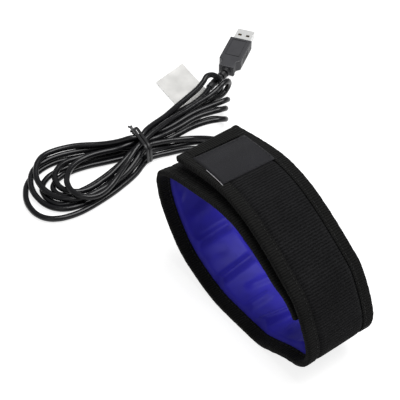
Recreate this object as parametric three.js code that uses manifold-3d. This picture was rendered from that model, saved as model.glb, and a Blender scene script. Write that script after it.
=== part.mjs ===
// Telescope dew heater strip: a padded fabric band closed into a loop by hook and loop,
// lying on its side, with its tied USB lead.
// Millimetres, +Z up. X runs along the section of the loop, Y along its axis.
// The origin is under the middle of the band, on the surface that it lies on.
import * as THREE from 'three';
import { mergeVertices } from 'three/addons/utils/BufferGeometryUtils.js';
import Module from 'manifold-3d';

// Driving dimensions of the band
const bandWidth = 46.5;
const shellThickness = 1.4;
const foamThickness = 1.0;
const heaterWireDiameter = 0.8;
const liningThickness = 0.5;
const bindingThickness = 0.7;
const bindingWidth = 7.5;
const sewnShellThickness = 0.8;
const crownSlope = 2;
const hookThickness = 1.1;
const hookStart = 11;
const hookLength = 42;
const labelStart = 9;
const labelLength = 31;
const labelWidth = 36.5;
const labelThickness = 0.4;
const wrinkleHeight = 1.3;
const wrinklePitch = 17;
const heatedLength = 214;
const laneSpacing = 5.6;
const laneCount = 4;
const fit = 0.3;

// How the closed strip skews: the tab sits further back than the layer under it,
// and its far edge is pulled inwards
const tabSkew = 5.5;
const farEdgeDrop = 4.5;

// Driving dimensions of the cable and what is on it
const cableDiameter = 3.8;
const glandLength = 13;
const glandBaseDiameter = 6.4;
const glandTipDiameter = 4.8;
const glandHeight = 45;
const hankHeight = 14;
const tieThickness = 1.3;
const tieWidth = 1.9;
const tieWraps = 2;
const tagLength = 28;
const tagWidth = 35;
const tagThickness = 0.4;

// Driving dimensions of the USB plug
const plugBodyLength = 23.5;
const plugWidth = 15.4;
const plugThickness = 8;
const plugNeckLength = 8.5;
const plugNeckWidth = 10.4;
const plugShellWidth = 12;
const plugShellThickness = 4.5;
const plugShellWall = 0.3;
const plugShellReach = 12;
const plugShellDepth = 6;
const plugReliefDiameter = 6.6;
const plugReliefTipDiameter = 5;
const plugFront = new THREE.Vector2(-185.5, 134);
const plugHeading = THREE.MathUtils.degToRad(122.5);

// Section of the closed strip, outer face, as X and Z from the tab end round the loop
// and under the table side back to the end that lies beneath the tab
const sectionPoints = [
  [-54.7, 82.1], [-43.5, 84.6], [-32, 87], [-12, 89.4], [14, 85.6], [38, 77.3], [57, 66.2],
  [65.3, 48], [66.6, 30], [62.3, 15.6], [50, 6.6], [36, 0.6], [26, 0], [14, 0], [0, 0], [-10, 0.6],
  [-31, 8], [-46, 18.4], [-56.5, 31], [-64, 44.5], [-67, 57.5], [-64, 66.5], [-55.5, 73.6],
  [-44, 77.6], [-30, 80.3], [-12, 82.6], [6, 80.3], [22, 73.6], [37, 65.6],
];
const lengthStep = 10;
const angleStep = THREE.MathUtils.degToRad(14);

// Depths below the outer face of the strip, from the thicknesses of its layers
const foamTop = shellThickness + fit;
const wireDepth = foamTop + foamThickness + fit + heaterWireDiameter / 2;
const liningTop = wireDepth + heaterWireDiameter / 2 + fit;
const stripThickness = liningTop + liningThickness;
const bindingTop = 0.1;
const sewnShellTop = bindingTop + bindingThickness + fit;
const sewnLiningTop = sewnShellTop + sewnShellThickness + fit;
const bindingLowerTop = sewnLiningTop + liningThickness + fit;
const bindingBottom = bindingLowerTop + bindingThickness;
const hookTop = stripThickness + fit;

// Distances from the middle of the strip, across its width
const edge = bandWidth / 2;
const layerEdge = edge - bindingThickness - fit;
const pressedEdge = edge - bindingWidth - fit;
const crownEdge = pressedEdge - crownSlope;

const wasm = await Module();
wasm.setup();

// Joining and cutting of closed meshes
function solid(geometry) {
  const bare = geometry.index ? geometry.toNonIndexed() : geometry.clone();
  bare.deleteAttribute('normal');
  bare.deleteAttribute('uv');
  const merged = mergeVertices(bare, 1e-4);
  return new wasm.Manifold(new wasm.Mesh({
    numProp: 3,
    vertProperties: merged.attributes.position.array,
    triVerts: new Uint32Array(merged.index.array),
  }));
}

function geometryOf(manifold) {
  const mesh = manifold.getMesh();
  const geometry = new THREE.BufferGeometry();
  geometry.setAttribute('position', new THREE.BufferAttribute(mesh.vertProperties, 3));
  geometry.setIndex(new THREE.BufferAttribute(mesh.triVerts, 1));
  return geometry;
}

// A closed skin over a row of rings that all have the same number of points
function skin(rings) {
  const count = rings[0].length;
  const position = rings.flat().flatMap((p) => [p.x, p.y, p.z]);
  const index = [];
  for (let r = 0; r < rings.length - 1; r += 1) {
    for (let i = 0; i < count; i += 1) {
      const next = (i + 1) % count;
      const a = r * count + i;
      const b = r * count + next;
      index.push(a, b, a + count, b, b + count, a + count);
    }
  }
  const outline = rings[0].map((p) => new THREE.Vector3().copy(p));
  const ends = capTriangles(outline);
  const last = (rings.length - 1) * count;
  ends.forEach(([a, b, c]) => index.push(a, c, b, last + a, last + b, last + c));
  const geometry = new THREE.BufferGeometry();
  geometry.setAttribute('position', new THREE.Float32BufferAttribute(position, 3));
  geometry.setIndex(index);
  return outwards(geometry);
}

// Triangles that fill one flat ring
function capTriangles(ring) {
  const normal = new THREE.Vector3();
  ring.forEach((p, i) => {
    normal.add(new THREE.Vector3().crossVectors(p, ring[(i + 1) % ring.length]));
  });
  normal.normalize();
  const across = new THREE.Vector3(1, 0, 0);
  if (Math.abs(normal.x) > 0.8) across.set(0, 1, 0);
  const u = new THREE.Vector3().crossVectors(normal, across).normalize();
  const v = new THREE.Vector3().crossVectors(normal, u);
  const flat = ring.map((p) => new THREE.Vector2(p.dot(u), p.dot(v)));
  return THREE.ShapeUtils.triangulateShape(flat, []);
}

// Turns the faces round where a closed mesh has them pointing in
function outwards(geometry) {
  const p = geometry.attributes.position;
  const index = Array.from(geometry.index.array);
  const a = new THREE.Vector3();
  const b = new THREE.Vector3();
  const c = new THREE.Vector3();
  let volume = 0;
  for (let i = 0; i < index.length; i += 3) {
    a.fromBufferAttribute(p, index[i]);
    b.fromBufferAttribute(p, index[i + 1]);
    c.fromBufferAttribute(p, index[i + 2]);
    volume += a.dot(b.cross(c));
  }
  if (volume < 0) index.reverse();
  geometry.setIndex(index);
  return geometry;
}

// Stations along the strip, closer together where it bends
function stripStations() {
  const points = sectionPoints.map(([x, z]) => new THREE.Vector3(x, 0, z));
  const curve = new THREE.CatmullRomCurve3(points, false, 'centripetal');
  const fine = curve.getSpacedPoints(2400);
  fine.forEach((p) => { p.z = Math.max(p.z, 0); });
  const measure = [0];
  const length = [0];
  for (let i = 1; i < fine.length; i += 1) {
    const step = fine[i].distanceTo(fine[i - 1]);
    const before = new THREE.Vector3().subVectors(fine[i], fine[i - 1]);
    const after = new THREE.Vector3().subVectors(fine[Math.min(i + 1, fine.length - 1)], fine[i]);
    const turn = after.lengthSq() > 0 ? before.angleTo(after) : 0;
    measure.push(measure[i - 1] + step / lengthStep + turn / angleStep);
    length.push(length[i - 1] + step);
  }
  const count = Math.ceil(measure.at(-1));
  const picked = [];
  let i = 0;
  for (let k = 0; k <= count; k += 1) {
    const wanted = (measure.at(-1) * k) / count;
    while (i < fine.length - 1 && measure[i] < wanted) i += 1;
    picked.push({ x: fine[i].x, z: fine[i].z, s: length[i] });
  }
  return picked.map((here, k) => {
    const back = picked[Math.max(k - 1, 0)];
    const next = picked[Math.min(k + 1, count)];
    const tangent = new THREE.Vector2(next.x - back.x, next.z - back.z).normalize();
    return { ...here, nx: tangent.y, nz: -tangent.x };
  });
}

const stations = stripStations();
const stripLength = stations.at(-1).s;
const rightFold = stations.find((q) => q.z < glandHeight && q.x > 0).s;
const leftFold = stations.find((q) => q.x < -edge && q.z > glandHeight && q.s > rightFold).s;

// The station at one length along the strip
function stationAt(s) {
  const k = Math.max(1, stations.findIndex((q) => q.s >= s));
  const a = stations[k - 1];
  const b = stations[k];
  const t = (s - a.s) / (b.s - a.s);
  const mix = (name) => THREE.MathUtils.lerp(a[name], b[name], t);
  return { s, x: mix('x'), z: mix('z'), nx: mix('nx'), nz: mix('nz') };
}

// Stations from one length to another, with the given lengths among them
function along(from, to, extra = []) {
  const inside = stations.map((q) => q.s).concat(extra).filter((s) => s > from + 0.2 && s < to - 0.2);
  const sorted = [from, ...inside.sort((a, b) => a - b), to];
  return sorted.filter((s, i) => i === 0 || s - sorted[i - 1] > 0.15).map(stationAt);
}

// A point of the strip: along it, across it and below its outer face
function stripPoint(q, across, depth) {
  const tab = 1 - THREE.MathUtils.smoothstep(q.s, 0, rightFold);
  const under = THREE.MathUtils.smoothstep(q.s, leftFold, leftFold + 26);
  const y = across + tabSkew * (tab - 0.5);
  const drop = (farEdgeDrop * Math.max(tab, under) * (across + edge)) / bandWidth;
  const inwards = depth + drop;
  return new THREE.Vector3(q.x + q.nx * inwards, y, q.z + q.nz * inwards);
}

function stripSkin(sectionAt, from, to, extra) {
  return skin(along(from, to, extra).map((q) => (
    sectionAt(q).map(([across, depth]) => stripPoint(q, across, depth))
  )));
}

// How far the layers are pressed together at s: 1 under an end binding, 0 in the field
function pressed(s) {
  const fromEnd = Math.min(s, stripLength - s);
  const start = bindingWidth + fit;
  return 1 - THREE.MathUtils.clamp((fromEnd - start) / crownSlope, 0, 1);
}

const firstLayer = bindingThickness + fit;
const lastLayer = stripLength - firstLayer;
const pressBreaks = [bindingWidth + fit, bindingWidth + fit + crownSlope].flatMap(
  (s) => [s, stripLength - s],
);

// Outer shell of loop-pile knit, crowned between the bindings
function outerShell() {
  return stripSkin((q) => {
    const top = sewnShellTop * pressed(q.s);
    const sewnBottom = sewnShellTop + sewnShellThickness;
    const bottom = THREE.MathUtils.lerp(shellThickness, sewnBottom, pressed(q.s));
    return [
      [-layerEdge, sewnShellTop], [-pressedEdge, sewnShellTop], [-crownEdge, top],
      [crownEdge, top], [pressedEdge, sewnShellTop], [layerEdge, sewnShellTop],
      [layerEdge, sewnBottom], [pressedEdge, sewnBottom], [crownEdge, bottom],
      [-crownEdge, bottom], [-pressedEdge, sewnBottom], [-layerEdge, sewnBottom],
    ];
  }, firstLayer, lastLayer, pressBreaks);
}

// Foam sheet under the shell
function insulationFoam() {
  const half = crownEdge - 0.5;
  const start = bindingWidth + fit + crownSlope;
  return stripSkin(() => [
    [-half, foamTop], [half, foamTop], [half, foamTop + foamThickness], [-half, foamTop + foamThickness],
  ], start, stripLength - start);
}

// Nylon lining with wrinkles across the strip
function wrinkle(s) {
  const covered = hookStart + hookLength + wrinklePitch;
  const start = THREE.MathUtils.smoothstep(s, covered, covered + wrinklePitch);
  const wave = Math.abs(Math.sin((Math.PI * s) / wrinklePitch));
  return wrinkleHeight * start * (1 - pressed(s)) * (1 - wave);
}

function lining() {
  return stripSkin((q) => {
    const flat = THREE.MathUtils.lerp(liningTop, sewnLiningTop, pressed(q.s));
    const top = flat + wrinkle(q.s);
    return [
      [-layerEdge, sewnLiningTop], [-pressedEdge, sewnLiningTop], [-crownEdge, flat],
      [0, top], [crownEdge, flat], [pressedEdge, sewnLiningTop], [layerEdge, sewnLiningTop],
      [layerEdge, sewnLiningTop + liningThickness], [pressedEdge, sewnLiningTop + liningThickness],
      [crownEdge, flat + liningThickness], [0, top + liningThickness],
      [-crownEdge, flat + liningThickness], [-pressedEdge, sewnLiningTop + liningThickness],
      [-layerEdge, sewnLiningTop + liningThickness],
    ];
  }, firstLayer, lastLayer, pressBreaks);
}

// Folded tape sewn over one long edge; side is -1 at the near rim and 1 at the far one
function edgeBinding(side) {
  const bevel = bindingThickness;
  const inner = edge - bindingThickness;
  const leg = edge - bindingWidth;
  const section = [
    [leg, bindingTop], [leg, bindingTop + bindingThickness], [inner, bindingTop + bindingThickness],
    [inner, bindingLowerTop], [leg, bindingLowerTop], [leg, bindingBottom],
    [edge - bevel, bindingBottom], [edge, bindingBottom - bevel],
    [edge, bindingTop + bevel], [edge - bevel, bindingTop],
  ].map(([across, depth]) => [side * across, depth]);
  return stripSkin(() => section, 0, stripLength);
}

// Folded tape over one end, between the two edge bindings; a length along the strip
// is measured from that end
function endBinding(fromTab) {
  const place = (t) => stationAt(fromTab ? t : stripLength - t);
  const half = pressedEdge;
  const section = [
    [bindingWidth, bindingTop], [bindingWidth, bindingTop + bindingThickness],
    [bindingThickness, bindingTop + bindingThickness], [bindingThickness, bindingLowerTop],
    [bindingWidth, bindingLowerTop], [bindingWidth, bindingBottom],
    [bindingThickness, bindingBottom], [0, bindingBottom - bindingThickness],
    [0, bindingTop + bindingThickness], [bindingThickness, bindingTop],
  ];
  return skin([-half, half].map((across) => (
    section.map(([t, depth]) => stripPoint(place(t), across, depth))
  )));
}

// Hook tape under the tab and the sewn label on it
function hookPatch() {
  const half = crownEdge - 0.5;
  return stripSkin(() => [
    [-half, hookTop], [half, hookTop], [half, hookTop + hookThickness], [-half, hookTop + hookThickness],
  ], hookStart, hookStart + hookLength);
}

function labelPatch() {
  const half = labelWidth / 2;
  const low = -fit;
  const high = low - labelThickness;
  const middle = 1;
  return stripSkin(() => [
    [middle - half, high], [middle + half, high], [middle + half, low], [middle - half, low],
  ], labelStart, labelStart + labelLength);
}

// A ring of points round a path point, square to the path
function roundRing(centre, tangent, radius, sides, start = 0) {
  const up = Math.abs(tangent.z) > 0.9 ? new THREE.Vector3(1, 0, 0) : new THREE.Vector3(0, 0, 1);
  const u = new THREE.Vector3().crossVectors(up, tangent).normalize();
  const v = new THREE.Vector3().crossVectors(tangent, u);
  return Array.from({ length: sides }, (_, i) => {
    const a = start + (2 * Math.PI * i) / sides;
    return centre.clone().addScaledVector(u, radius * Math.cos(a)).addScaledVector(v, radius * Math.sin(a));
  });
}

// Cable gland, sewn into the far rim on the left wall of the loop
const glandStation = stations.filter((q) => q.s > rightFold && q.s < stripLength - 100)
  .reduce((a, b) => (Math.abs(b.z - glandHeight) + (b.x > 0 ? 99 : 0)
    < Math.abs(a.z - glandHeight) + (a.x > 0 ? 99 : 0) ? b : a));
const glandBase = stripPoint(glandStation, edge + fit, bindingBottom / 2);

// Heating wire: lanes along the heated length, joined by turns, between foam and lining.
// Both its ends lie near the gland
const heatedEnd = glandStation.s - 8;
const heatedStart = heatedEnd - heatedLength;
const wireSides = 4;

function lanePoint(s, lane) {
  const across = (lane - (laneCount - 1) / 2) * laneSpacing;
  return stripPoint(stationAt(s), across, wireDepth);
}

function heatingWire() {
  const lengths = along(heatedStart, heatedEnd).map((q) => q.s).reverse();
  const path = [];
  const turnReach = laneSpacing / 2;
  for (let lane = 0; lane < laneCount; lane += 1) {
    const run = lane % 2 === 0 ? lengths : [...lengths].reverse();
    path.push(...run.map((s) => lanePoint(s, lane)));
    if (lane < laneCount - 1) {
      const s = run.at(-1) + (lane % 2 === 0 ? -turnReach : turnReach);
      path.push(lanePoint(s, lane + 0.5));
    }
  }
  return wireSkin(path);
}

// A thin wire through points; each ring keeps one side against the foam
function wireSkin(path) {
  return skin(path.map((p, i) => {
    const before = path[Math.max(i - 1, 0)];
    const after = path[Math.min(i + 1, path.length - 1)];
    const tangent = new THREE.Vector3().subVectors(after, before).normalize();
    return wireRing(p, tangent);
  }));
}

function wireRing(centre, tangent) {
  const radius = heaterWireDiameter / 2;
  const inwards = nearestInward(centre);
  inwards.addScaledVector(tangent, -inwards.dot(tangent)).normalize();
  const u = new THREE.Vector3().crossVectors(inwards, tangent).normalize();
  return Array.from({ length: wireSides }, (_, i) => {
    const a = (2 * Math.PI * i) / wireSides;
    const p = centre.clone().addScaledVector(u, radius * Math.cos(a));
    return p.addScaledVector(inwards, radius * Math.sin(a));
  });
}

function nearestInward(p) {
  const distance = (q) => Math.hypot(q.x + q.nx * wireDepth - p.x, q.z + q.nz * wireDepth - p.z);
  const q = stations.reduce((a, b) => (distance(b) < distance(a) ? b : a));
  return new THREE.Vector3(q.nx, 0, q.nz);
}

// Supply wires from the heating wire's ends to the edge where the cable comes in
function supplyWire(lane, turnAt) {
  const s = heatedEnd + turnAt;
  return wireSkin([
    lanePoint(heatedEnd + heaterWireDiameter + fit, lane),
    lanePoint(s, lane),
    stripPoint(stationAt(s), crownEdge - 1.5, wireDepth),
  ]);
}

function gland() {
  const base = glandBaseDiameter / 2;
  const tip = glandTipDiameter / 2;
  const flange = 1.6;
  const profile = [
    [0, 0], [base + 0.8, 0], [base + 0.8, flange], [base, flange + 0.6],
    [tip, glandLength - 0.8], [tip - 0.5, glandLength], [0, glandLength],
  ].map(([r, y]) => new THREE.Vector2(r, y));
  const geometry = new THREE.LatheGeometry(profile, 14);
  return geometry.translate(glandBase.x, glandBase.y, glandBase.z);
}

// Route of the lead from the gland, down behind the band to the tied hank
const glandTip = glandBase.y + glandLength;
const leadPoints = [
  [glandBase.x, glandTip, glandBase.z], [glandBase.x, glandTip + 4, glandBase.z], [-63.3, 44, 42],
  [-63.8, 48.3, 31], [-65.6, 52, 21], [-69.5, 56, 11.5],
  [-76, 59.8, 4.6], [-85, 61.4, 2.1], [-95, 61, 2], [-105, 58, 2], [-113, 53, 2], [-119.5, 46.5, 2],
  [-124.5, 39.5, 2], [-128, 32, 2],
];

// Route of the lead from the plug's strain relief to the hank, over the root of the tag
const plugLeadPoints = [
  [-162, 87.6, 3.2], [-159.2, 82, 2.9], [-157, 75, 2.8], [-155.4, 66, 2.8], [-153.8, 57, 2.8], [-151.5, 47, 3.2],
];

function cableTube(points, radius, clearance, startGap, endGap) {
  const curve = new THREE.CatmullRomCurve3(points.map((p) => new THREE.Vector3(...p)), false, 'centripetal');
  const length = curve.getLength();
  const count = Math.ceil(length / (2.4 * cableDiameter));
  const rings = [];
  for (let i = 0; i <= count; i += 1) {
    const at = THREE.MathUtils.lerp(startGap, length - endGap, i / count) / length;
    rings.push(roundRing(curve.getPointAt(at), curve.getTangentAt(at), radius + clearance, 8, Math.PI / 8));
  }
  return skin(rings);
}

// The tied hank: one solid of its outer shape, with a waist under the tie
const hankOutline = [
  [-153, 57], [-151.5, 44], [-151, 30], [-151.5, 18], [-156, 8], [-163, -5], [-171, -20], [-175, -35], [-171, -49],
  [-162, -62], [-151, -70], [-137, -73.5], [-125, -71], [-118.5, -61], [-117, -49], [-118.5, -32],
  [-121, -16], [-126.5, 2], [-129, 14], [-128.5, 24], [-130.5, 34], [-133, 46], [-131, 58], [-125.5, 69],
  [-126, 76], [-134, 84], [-141, 91], [-147.5, 97.5], [-151.5, 95], [-150.6, 84], [-150.4, 70],
];
const tieCentre = new THREE.Vector3(-139.5, 15.5, 0);
const coreWidth = 19.5;
const tieGap = 0.5;
const tieSlot = tieThickness + 2 * fit;
const tieCorner = 3.2;

function hank() {
  const closed = new THREE.CatmullRomCurve3(
    hankOutline.map(([x, y]) => new THREE.Vector3(x, y, 0)), true, 'centripetal',
  );
  const outline = closed.getPoints(62).slice(0, -1).map((p) => new THREE.Vector2(p.x, p.y));
  const round = 1.6;
  const body = new THREE.ExtrudeGeometry(new THREE.Shape(outline), {
    depth: hankHeight - 2 * round, bevelSize: round, bevelThickness: round, bevelSegments: 2,
    bevelOffset: -round, curveSegments: 1,
  }).translate(0, 0, round);
  const slotLength = tieWraps * (tieWidth + tieGap) + tieWidth + 4 * fit;
  const slot = new THREE.BoxGeometry(60, slotLength, 4 * hankHeight)
    .translate(tieCentre.x, tieCentre.y, 0);
  const half = coreWidth / 2;
  const cut = half - tieCorner;
  const section = new THREE.Shape([
    [-cut, tieSlot], [cut, tieSlot], [half, tieSlot + tieCorner], [half, hankHeight - tieCorner],
    [cut, hankHeight], [-cut, hankHeight], [-half, hankHeight - tieCorner], [-half, tieSlot + tieCorner],
  ].map(([x, z]) => new THREE.Vector2(x, z)));
  const core = new THREE.ExtrudeGeometry(section, { depth: slotLength + 4, bevelEnabled: false })
    .rotateX(Math.PI / 2)
    .translate(tieCentre.x, tieCentre.y + slotLength / 2 + 2, 0);
  const leads = [leadSocket(leadPoints), leadSocket(plugLeadPoints)];
  let shape = solid(body).subtract(solid(slot)).add(solid(core));
  leads.forEach((lead) => { shape = shape.subtract(solid(lead)); });
  return geometryOf(shape);
}

// The room that a lead has where it goes into the hank
function leadSocket(points) {
  const [x, y, z] = points.at(-1);
  const [bx, by] = points.at(-2);
  const reach = 0.4;
  const further = [x + reach * (x - bx), y + reach * (y - by), z];
  return cableTube([...points, further], cableDiameter / 2, 1.3 * fit, 3, 0);
}

// Twisted wire tie: wraps round the waist of the hank, with two twisted ends on top
function twistTie() {
  const halfWidth = coreWidth / 2 + fit + tieThickness / 2;
  const low = tieThickness / 2;
  const high = hankHeight + fit + tieThickness / 2;
  const corner = tieCorner + fit;
  const pitch = tieWidth + tieGap;
  const lap = [];
  const corners = [[-1, 1], [1, 1], [1, -1], [-1, -1]];
  corners.forEach(([sx, sz], k) => {
    const cx = sx * (halfWidth - corner);
    const cz = (low + high) / 2 + sz * ((high - low) / 2 - corner);
    const first = Math.PI - (k * Math.PI) / 2;
    for (let j = 0; j <= 2; j += 1) {
      const a = first - (j * Math.PI) / 4;
      lap.push([cx + corner * Math.cos(a), cz + corner * Math.sin(a)]);
    }
  });
  const path = [];
  for (let w = 0; w < tieWraps; w += 1) {
    lap.forEach(([x, z], i) => {
      const y = pitch * (w + i / lap.length - tieWraps / 2);
      path.push(new THREE.Vector3(x, y, z));
    });
  }
  const middle = (low + high) / 2;
  const end = path.at(-1).y;
  path.push(new THREE.Vector3(-halfWidth, end, middle + 2));
  path.push(new THREE.Vector3(-halfWidth - 1, end, high - 2.6));
  path.push(new THREE.Vector3(-halfWidth - 2.4, end - 0.5, high));
  path.push(new THREE.Vector3(-halfWidth - 2.6, end - 1.2, high + 2));
  return skin(path.map((p, i) => {
    const before = path[Math.max(i - 1, 0)];
    const after = path[Math.min(i + 1, path.length - 1)];
    const tangent = new THREE.Vector3().subVectors(after, before).normalize();
    const side = new THREE.Vector3(0, 1, 0).addScaledVector(tangent, -tangent.y).normalize();
    const out = new THREE.Vector3().crossVectors(tangent, side);
    const a = tieWidth / 2;
    const b = tieThickness / 2;
    return [[-a, -b / 2], [-a / 2, -b], [a / 2, -b], [a, -b / 2], [a, b / 2], [a / 2, b], [-a / 2, b], [-a, b / 2]]
      .map(([u, v]) => p.clone().addScaledVector(side, u).addScaledVector(out, v));
  })).translate(tieCentre.x, tieCentre.y, 0);
}

// Paper tag: a flag folded round the plug's lead, lying flat beside it
const tagTurn = THREE.MathUtils.degToRad(-8.5);
const tagRoot = new THREE.Vector3(-156.3, 71.5, 0);
const tagOverhang = 2.6;

function tag() {
  const geometry = new THREE.BoxGeometry(tagWidth, tagLength, tagThickness);
  return geometry.translate(tagOverhang - tagWidth / 2, 0, fit + tagThickness / 2)
    .rotateZ(tagTurn)
    .translate(tagRoot.x, tagRoot.y, 0);
}

// Plug overmould: flat body with a stepped neck, a raised frame on top and side grips
const socketDepth = plugShellDepth + fit;

function plugOvermould() {
  const w = plugWidth / 2;
  const n = plugNeckWidth / 2;
  const body = plugBodyLength;
  const end = plugBodyLength + plugNeckLength;
  const step = w - n;
  const outline = new THREE.Shape([
    [0, -w], [0, w], [-body, w], [-body - step, n], [-end + 2, n - 0.4], [-end + 1.4, n + 0.4], [-end, n],
    [-end, -n], [-end + 1.4, -n - 0.4], [-end + 2, -n + 0.4], [-body - step, -n], [-body, -w],
  ].map(([x, y]) => new THREE.Vector2(x, y)));
  const bevel = 0.8;
  const block = new THREE.ExtrudeGeometry(outline, {
    depth: plugThickness - 2 * bevel, bevelSize: bevel, bevelThickness: bevel, bevelSegments: 2,
    bevelOffset: -bevel,
  }).translate(0, 0, bevel - plugThickness / 2);
  const socket = new THREE.BoxGeometry(
    2 * socketDepth, plugShellWidth + 2 * fit, plugShellThickness + 2 * fit,
  );
  const frameLength = body - 6;
  const frameWidth = plugWidth - 5;
  const grooveDepth = 0.35;
  let shape = solid(block).subtract(solid(socket));
  const frame = new THREE.BoxGeometry(frameLength, frameWidth, 2 * grooveDepth);
  const island = new THREE.BoxGeometry(frameLength - 1.2, frameWidth - 1.2, 3 * grooveDepth);
  const groove = solid(frame).subtract(solid(island)).translate([-frameLength / 2 - 2.4, 0, plugThickness / 2]);
  shape = shape.subtract(groove);
  const gripCount = 4;
  const gripPitch = 2.6;
  for (let i = 0; i < gripCount; i += 1) {
    const x = -body / 2 + (i - (gripCount - 1) / 2) * gripPitch - 1.5;
    [-1, 1].forEach((side) => {
      const grip = new THREE.BoxGeometry(1.1, 1, plugThickness - 3).translate(x, side * w, 0);
      shape = shape.subtract(solid(grip));
    });
  }
  return geometryOf(shape);
}

// Drawn metal shell of the plug, with its four latch windows
function plugShell() {
  const length = plugShellReach + plugShellDepth;
  const outer = new THREE.BoxGeometry(length, plugShellWidth, plugShellThickness);
  const inner = new THREE.BoxGeometry(
    length + 1, plugShellWidth - 2 * plugShellWall, plugShellThickness - 2 * plugShellWall,
  );
  let shape = solid(outer).subtract(solid(inner));
  const windowLength = 2;
  const windowWidth = 2.5;
  const windowCentre = length / 2 - 5.2 - windowLength / 2;
  [-1, 1].forEach((side) => {
    const cutter = new THREE.BoxGeometry(windowLength, windowWidth, 2 * plugShellThickness)
      .translate(windowCentre, side * plugShellWidth * 0.235, 0);
    shape = shape.subtract(solid(cutter));
  });
  const centre = length / 2 - plugShellDepth;
  return geometryOf(shape).translate(centre, 0, 0);
}

// Insulating tongue in the lower half of the shell, and the four contacts on it
const tongueThickness = 1.7;
const tongueLength = plugShellReach + plugShellDepth - 1.4;
const tongueTop = -plugShellThickness / 2 + plugShellWall + fit + tongueThickness;

function plugTongue() {
  const width = plugShellWidth - 2 * plugShellWall - 2 * fit;
  return new THREE.BoxGeometry(tongueLength, width, tongueThickness)
    .translate(plugShellReach - 0.7 - tongueLength / 2, 0, tongueTop - tongueThickness / 2);
}

const contactPitch = 2.25;
const contactLength = 8.6;

function plugContact(index) {
  const thickness = 0.25;
  return new THREE.BoxGeometry(contactLength, 1.1, thickness).translate(
    plugShellReach - 2.2 - contactLength / 2, (index - 1.5) * contactPitch, tongueTop + fit + thickness / 2,
  );
}

// Ribbed strain relief behind the plug, bending towards the lead
function plugRelief() {
  const rear = new THREE.Vector3(-(plugBodyLength + plugNeckLength + fit), 0, 0)
    .applyAxisAngle(new THREE.Vector3(0, 0, 1), plugHeading)
    .add(new THREE.Vector3(plugFront.x, plugFront.y, plugThickness / 2));
  const lead = new THREE.CatmullRomCurve3(
    plugLeadPoints.map((p) => new THREE.Vector3(...p)), false, 'centripetal',
  );
  const tip = lead.getPointAt(0);
  const away = lead.getTangentAt(0);
  const heading = new THREE.Vector3(Math.cos(plugHeading), Math.sin(plugHeading), 0);
  const curve = new THREE.CubicBezierCurve3(
    rear, rear.clone().addScaledVector(heading, -6), tip.clone().addScaledVector(away, -6), tip,
  );
  const ribs = 5;
  const rings = [];
  const wide = plugReliefDiameter / 2;
  const narrow = plugReliefTipDiameter / 2;
  const ringAt = (t, radius) => rings.push(
    roundRing(curve.getPointAt(t), curve.getTangentAt(t), radius, 12),
  );
  for (let i = 0; i < ribs; i += 1) {
    const radius = THREE.MathUtils.lerp(wide, narrow, i / (ribs - 1));
    const groove = cableDiameter / 2 + 0.1;
    ringAt((i + 0.02) / ribs, radius);
    const last = i === ribs - 1;
    ringAt(last ? 1 : (i + 0.62) / ribs, radius - 0.1);
    if (!last) {
      ringAt((i + 0.66) / ribs, groove);
      ringAt((i + 0.96) / ribs, groove);
    }
  }
  return skin(rings);
}

// Materials
function finish(color, roughness, metalness = 0) {
  return new THREE.MeshStandardMaterial({ color, roughness, metalness });
}

const knit = () => finish(0x202021, 0.95);
const tape = () => finish(0x121211, 0.9);
const nylon = () => finish(0x2a2590, 0.6);
const foam = () => finish(0x3a3a3c, 0.95);
const copper = () => finish(0xb06a3a, 0.35, 1);
const red = () => finish(0x8a1c1c, 0.5);
const hooks = () => finish(0x161616, 0.85);
const satin = () => finish(0x323237, 0.5);
const rubber = () => finish(0x17171a, 0.45);
const paper = () => finish(0xe8e8e6, 0.8);
const plugPlastic = () => finish(0x2e2e31, 0.55);
const tongueWhite = () => finish(0xd8d8d4, 0.5);
const steel = () => finish(0xd9d9d6, 0.25, 1);
const gold = () => finish(0xd8b25a, 0.3, 1);

function part(name, geometry, material) {
  const mesh = new THREE.Mesh(geometry, material);
  mesh.name = name;
  return mesh;
}

// Assembly
const strip = new THREE.Group();
strip.add(
  part('outer_shell', outerShell(), knit()),
  part('insulation_foam', insulationFoam(), foam()),
  part('heating_wire', heatingWire(), copper()),
  part('supply_wire_1', supplyWire(0, 7), red()),
  part('supply_wire_2', supplyWire(laneCount - 1, 4.2), red()),
  part('inner_lining', lining(), nylon()),
  part('near_edge_binding', edgeBinding(-1), tape()),
  part('far_edge_binding', edgeBinding(1), tape()),
  part('tab_end_binding', endBinding(true), tape()),
  part('inner_end_binding', endBinding(false), tape()),
  part('hook_patch', hookPatch(), hooks()),
  part('label_patch', labelPatch(), satin()),
  part('cable_gland', gland(), rubber()),
);

const cable = new THREE.Group();
cable.add(
  part('lead_to_band', cableTube(leadPoints, cableDiameter / 2, 0, 1.2 * fit, 0), rubber()),
  part('cable_hank', hank(), rubber()),
  part('lead_to_plug', cableTube(plugLeadPoints, cableDiameter / 2, 0, fit, 0), rubber()),
  part('twist_tie', twistTie(), hooks()),
  part('cable_tag', tag(), paper()),
  part('plug_strain_relief', plugRelief(), rubber()),
);

const plug = new THREE.Group();
plug.position.set(plugFront.x, plugFront.y, plugThickness / 2);
plug.rotation.z = plugHeading;
plug.add(
  part('plug_overmould', plugOvermould(), plugPlastic()),
  part('plug_shell', plugShell(), steel()),
  part('plug_tongue', plugTongue(), tongueWhite()),
);
for (let i = 0; i < 4; i += 1) plug.add(part(`plug_contact_${i + 1}`, plugContact(i), gold()));

const model = new THREE.Group();
model.add(strip, cable, plug);
export default model;
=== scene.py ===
import math

import bmesh
import bpy
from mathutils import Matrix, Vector, noise


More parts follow.
